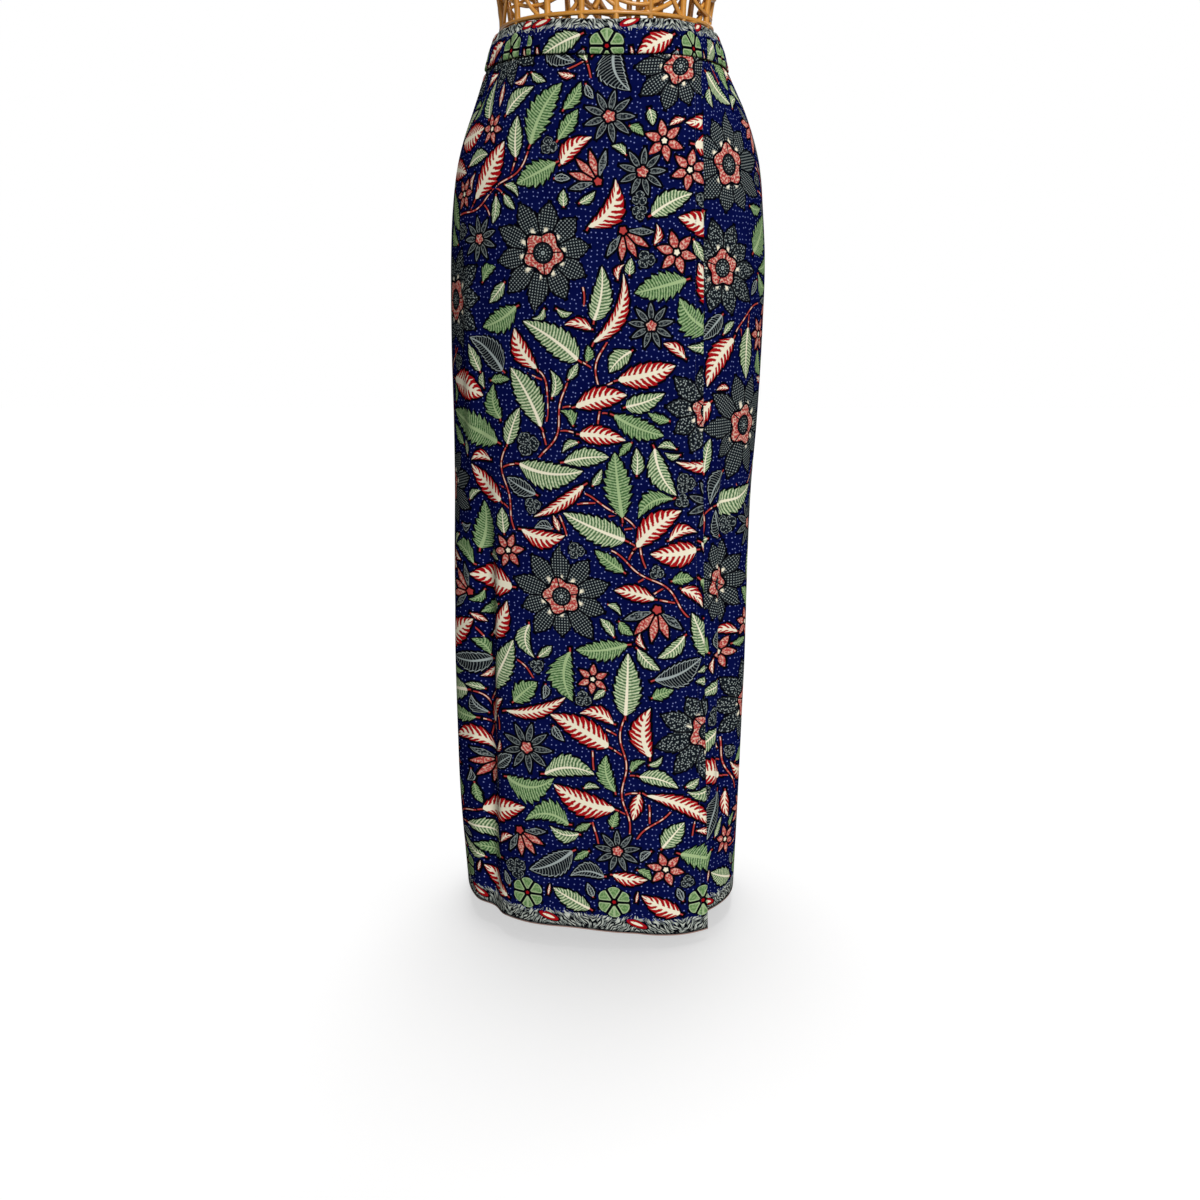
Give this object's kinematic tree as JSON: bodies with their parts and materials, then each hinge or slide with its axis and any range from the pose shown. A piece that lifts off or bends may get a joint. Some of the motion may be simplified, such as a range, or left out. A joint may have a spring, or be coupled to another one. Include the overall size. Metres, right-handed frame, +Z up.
{
  "type": "pencil skirt on dress form",
  "caption": "Ankle-length printed pencil skirt with an overlapping front and an elastic gathered waistband, on a limbless cane dress form with a pole and an oval base.",
  "frame": {"origin": "on the floor below the middle of the waist, at the centre of the base plate's underside", "axes": "+Z up, -Y towards the front of the skirt, +X towards the free edge of the front overlap"},
  "size_m": [0.3509, 0.283, 1.4],
  "materials": {
    "printed_cotton": "plain-woven cotton with a navy batik print of red, green, cream and grey flowers and leaves, matt",
    "waistband_cotton": "the same printed cotton, folded over elastic, with the grey fern border of the cloth along its upper edge",
    "form_cane": "honey-coloured varnished cane",
    "stand_steel": "black powder-coated steel"
  },
  "bodies": {
    "root": {"front_overlap_panel": "printed_cotton", "front_under_panel": "printed_cotton", "back_panel": "printed_cotton", "waistband_front": "waistband_cotton", "waistband_elastic": "waistband_cotton", "dress_form": "form_cane", "stand_pole": "stand_steel", "stand_base": "stand_steel"}
  },
  "joints": []
}
